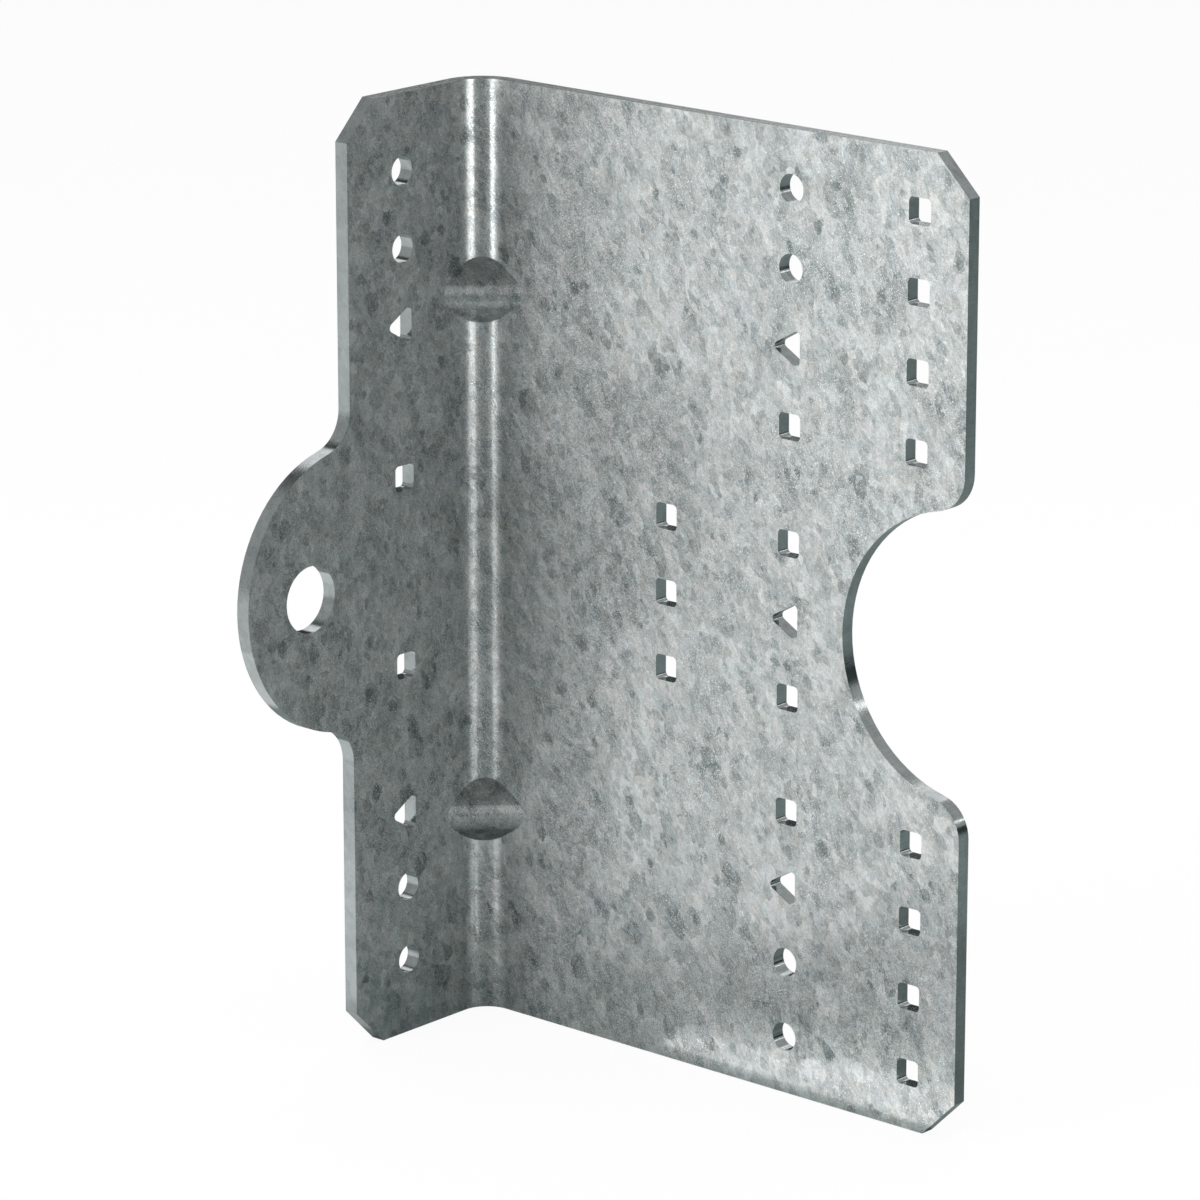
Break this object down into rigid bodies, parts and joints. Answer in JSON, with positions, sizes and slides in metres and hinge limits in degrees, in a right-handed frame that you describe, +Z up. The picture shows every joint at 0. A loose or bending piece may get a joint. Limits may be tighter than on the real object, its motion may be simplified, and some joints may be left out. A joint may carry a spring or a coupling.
{
  "type": "steel stud clip",
  "caption": "Right-angle clip folded from one punched galvanised steel sheet, with a round anchor tab, a matching round notch and pressed gusset darts across the bend.",
  "frame": {"origin": "centre of the anchor hole on the outer face of the narrow leg", "axes": "+Z up along the bend, +X from the narrow leg's outer face inward and along the wide leg to its free edge, +Y from the tab towards the heel and out of the wide leg's outer face"},
  "size_m": [0.1029, 0.0577, 0.1588],
  "materials": {
    "galvanised_sheet": "hot-dip galvanised with a fine mottled spangle, satin"
  },
  "bodies": {
    "root": {"stud_clip": "galvanised_sheet"}
  },
  "joints": []
}
